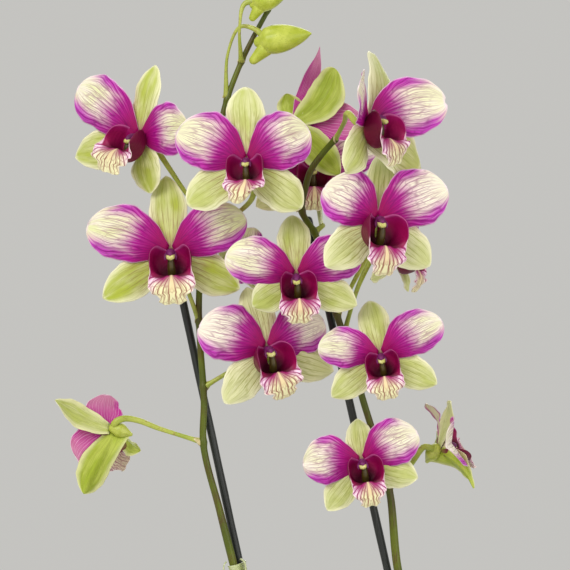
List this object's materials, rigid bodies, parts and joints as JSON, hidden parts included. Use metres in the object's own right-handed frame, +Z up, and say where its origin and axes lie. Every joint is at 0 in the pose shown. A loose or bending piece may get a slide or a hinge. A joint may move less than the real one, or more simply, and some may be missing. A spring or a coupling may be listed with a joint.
{
  "type": "potted orchid",
  "caption": "Potted orchid with leafy canes and staked arching sprays of open purple and green flowers and buds in a round pot.",
  "frame": {"origin": "centre of the pot's underside", "axes": "+Z up, -Y towards the side that most flowers face"},
  "size_m": [0.3166, 0.2806, 0.6434],
  "materials": {
    "tepal": "satin",
    "lip": "satin",
    "bud": "satin",
    "cane": "satin",
    "leaf": "satin",
    "stake": "matt",
    "clip": "gloss",
    "pot": "matt",
    "medium": "rough"
  },
  "bodies": {
    "root": {"pot": "pot", "medium": "medium", "cane_left": "cane", "cane_right": "cane", "cane_front": "cane", "cane_back": "cane", "stake_left": "stake", "stake_right": "stake", "leaf_left_1": "leaf", "leaf_left_2": "leaf", "leaf_left_3": "leaf", "leaf_right_1": "leaf", "leaf_right_2": "leaf", "leaf_right_3": "leaf", "leaf_front_1": "leaf", "leaf_front_2": "leaf", "leaf_back_1": "leaf", "leaf_back_2": "leaf", "clip_left": "clip", "clip_right": "clip", "flower_01_perianth": "tepal", "flower_01_lip": "lip", "flower_02_perianth": "tepal", "flower_02_lip": "lip", "flower_03_perianth": "tepal", "flower_03_lip": "lip", "flower_04_perianth": "tepal", "flower_04_lip": "lip", "flower_05_perianth": "tepal", "flower_05_lip": "lip", "flower_06_perianth": "tepal", "flower_06_lip": "lip", "flower_07_perianth": "tepal", "flower_07_lip": "lip", "flower_08_perianth": "tepal", "flower_08_lip": "lip", "flower_09_perianth": "tepal", "flower_09_lip": "lip", "flower_10_perianth": "tepal", "flower_10_lip": "lip", "flower_11_perianth": "tepal", "flower_11_lip": "lip", "flower_12_perianth": "tepal", "flower_12_lip": "lip", "flower_13_perianth": "tepal", "flower_13_lip": "lip", "flower_14_perianth": "tepal", "flower_14_lip": "lip", "flower_15_perianth": "tepal", "flower_15_lip": "lip", "bud_1": "bud", "bud_2": "bud", "bud_3": "bud", "bud_4": "bud"}
  },
  "joints": []
}
